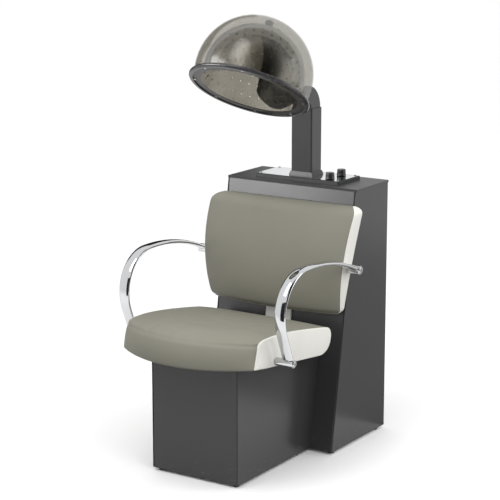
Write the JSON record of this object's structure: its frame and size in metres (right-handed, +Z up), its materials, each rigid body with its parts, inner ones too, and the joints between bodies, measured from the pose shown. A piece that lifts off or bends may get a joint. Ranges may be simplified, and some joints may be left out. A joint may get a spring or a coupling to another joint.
{
  "type": "hood dryer chair",
  "caption": "Salon chair with padded seat and back, chrome arms and a steel cabinet that carries a hood hair dryer on a telescopic post.",
  "frame": {"origin": "on the floor, under the centre of the whole object's box", "axes": "+Z up, the sitter faces -Y, +X is the sitter's left, the hood's dome is symmetric about X = 0"},
  "size_m": [0.646, 0.9259, 1.4631],
  "materials": {
    "cabinet_paint": "satin",
    "zinc_steel": "satin",
    "bracket_paint": "satin",
    "taupe_vinyl": "satin",
    "white_vinyl": "satin",
    "plywood": "matte",
    "chrome": "polished",
    "black_plastic": "matte",
    "knob_plastic": "gloss",
    "polished_steel": "polished",
    "glide_rubber": "matte",
    "smoked_clear": "gloss",
    "smoked_mirror": "gloss",
    "rim_plastic": "gloss",
    "plenum_plastic": "matte",
    "liner_plastic": "matte",
    "fan_plastic": "matte",
    "motor_steel": "satin",
    "heater_alloy": "matte",
    "terminal_plastic": "matte",
    "die_cast": "satin"
  },
  "bodies": {
    "chair": {"cabinet_side_left": "cabinet_paint", "cabinet_side_right": "cabinet_paint", "cabinet_front_panel": "cabinet_paint", "cabinet_back_panel": "cabinet_paint", "cabinet_lid": "cabinet_paint", "cabinet_floor": "zinc_steel", "blower_shelf": "zinc_steel", "power_inlet": "black_plastic", "panel_screws": "zinc_steel", "leg_side_left": "cabinet_paint", "leg_side_right": "cabinet_paint", "leg_front_panel": "cabinet_paint", "seat_deck": "zinc_steel", "floor_glides": "glide_rubber", "seat_board": "plywood", "seat_cushion": "taupe_vinyl", "seat_side_left": "white_vinyl", "seat_side_right": "white_vinyl", "frame_bolts": "zinc_steel", "back_board": "plywood", "back_cushion": "taupe_vinyl", "back_side_left": "white_vinyl", "back_side_right": "white_vinyl", "back_bracket": "bracket_paint", "back_standoffs": "zinc_steel", "arm_left": "chrome", "arm_right": "chrome", "arm_front_bosses": "chrome", "arm_rear_bosses": "chrome", "arm_bolts": "chrome", "control_tray": "black_plastic", "control_plate": "polished_steel", "timer_body": "black_plastic", "heat_switch_body": "black_plastic", "post": "cabinet_paint", "post_collar": "black_plastic", "slide_liners": "liner_plastic", "heater_housing": "zinc_steel", "heater_element": "heater_alloy", "blower_housing": "zinc_steel", "motor_case": "motor_steel", "terminal_block": "terminal_plastic"},
    "arm_slide": {"hood_arm": "cabinet_paint", "hinge_pin": "chrome", "hinge_washers": "liner_plastic"},
    "hood": {"hood_neck": "die_cast", "air_plenum": "plenum_plastic", "outer_shell": "smoked_clear", "inner_shell": "smoked_mirror", "rim_ring": "rim_plastic", "apex_spacer": "plenum_plastic", "hood_screws": "chrome"},
    "timer": {"timer_knob": "knob_plastic", "timer_shaft": "zinc_steel"},
    "heat": {"heat_knob": "knob_plastic", "heat_switch_shaft": "zinc_steel"},
    "lock": {"lock_knob": "knob_plastic", "lock_screw": "zinc_steel"},
    "blower": {"impeller": "fan_plastic", "motor_rotor": "motor_steel"}
  },
  "joints": [
    {"name": "height_slide", "type": "slide", "parent": "chair", "child": "arm_slide", "axis": [0, 0, 1], "range_m": [0, 0.15]},
    {"name": "hood_tilt", "type": "hinge", "parent": "arm_slide", "child": "hood", "pos_m": [0, 0.23, 1.178], "axis": [-1, 0, 0], "range_deg": [-15, 40]},
    {"name": "timer_turn", "type": "hinge", "parent": "chair", "child": "timer", "pos_m": [0.114, 0.308, 0.896], "axis": [0, 0, -1], "range_deg": [0, 300]},
    {"name": "heat_turn", "type": "hinge", "parent": "chair", "child": "heat", "pos_m": [0.114, 0.3845, 0.896], "axis": [0, 0, -1], "range_deg": [0, 135]},
    {"name": "lock_turn", "type": "hinge", "parent": "chair", "child": "lock", "pos_m": [0, 0.39, 1.086], "axis": [0, 1, 0], "range_deg": [0, 360]},
    {"name": "fan_spin", "type": "hinge", "parent": "chair", "child": "blower", "pos_m": [0, 0.297, 0.59], "axis": [1, 0, 0], "continuous": true}
  ]
}
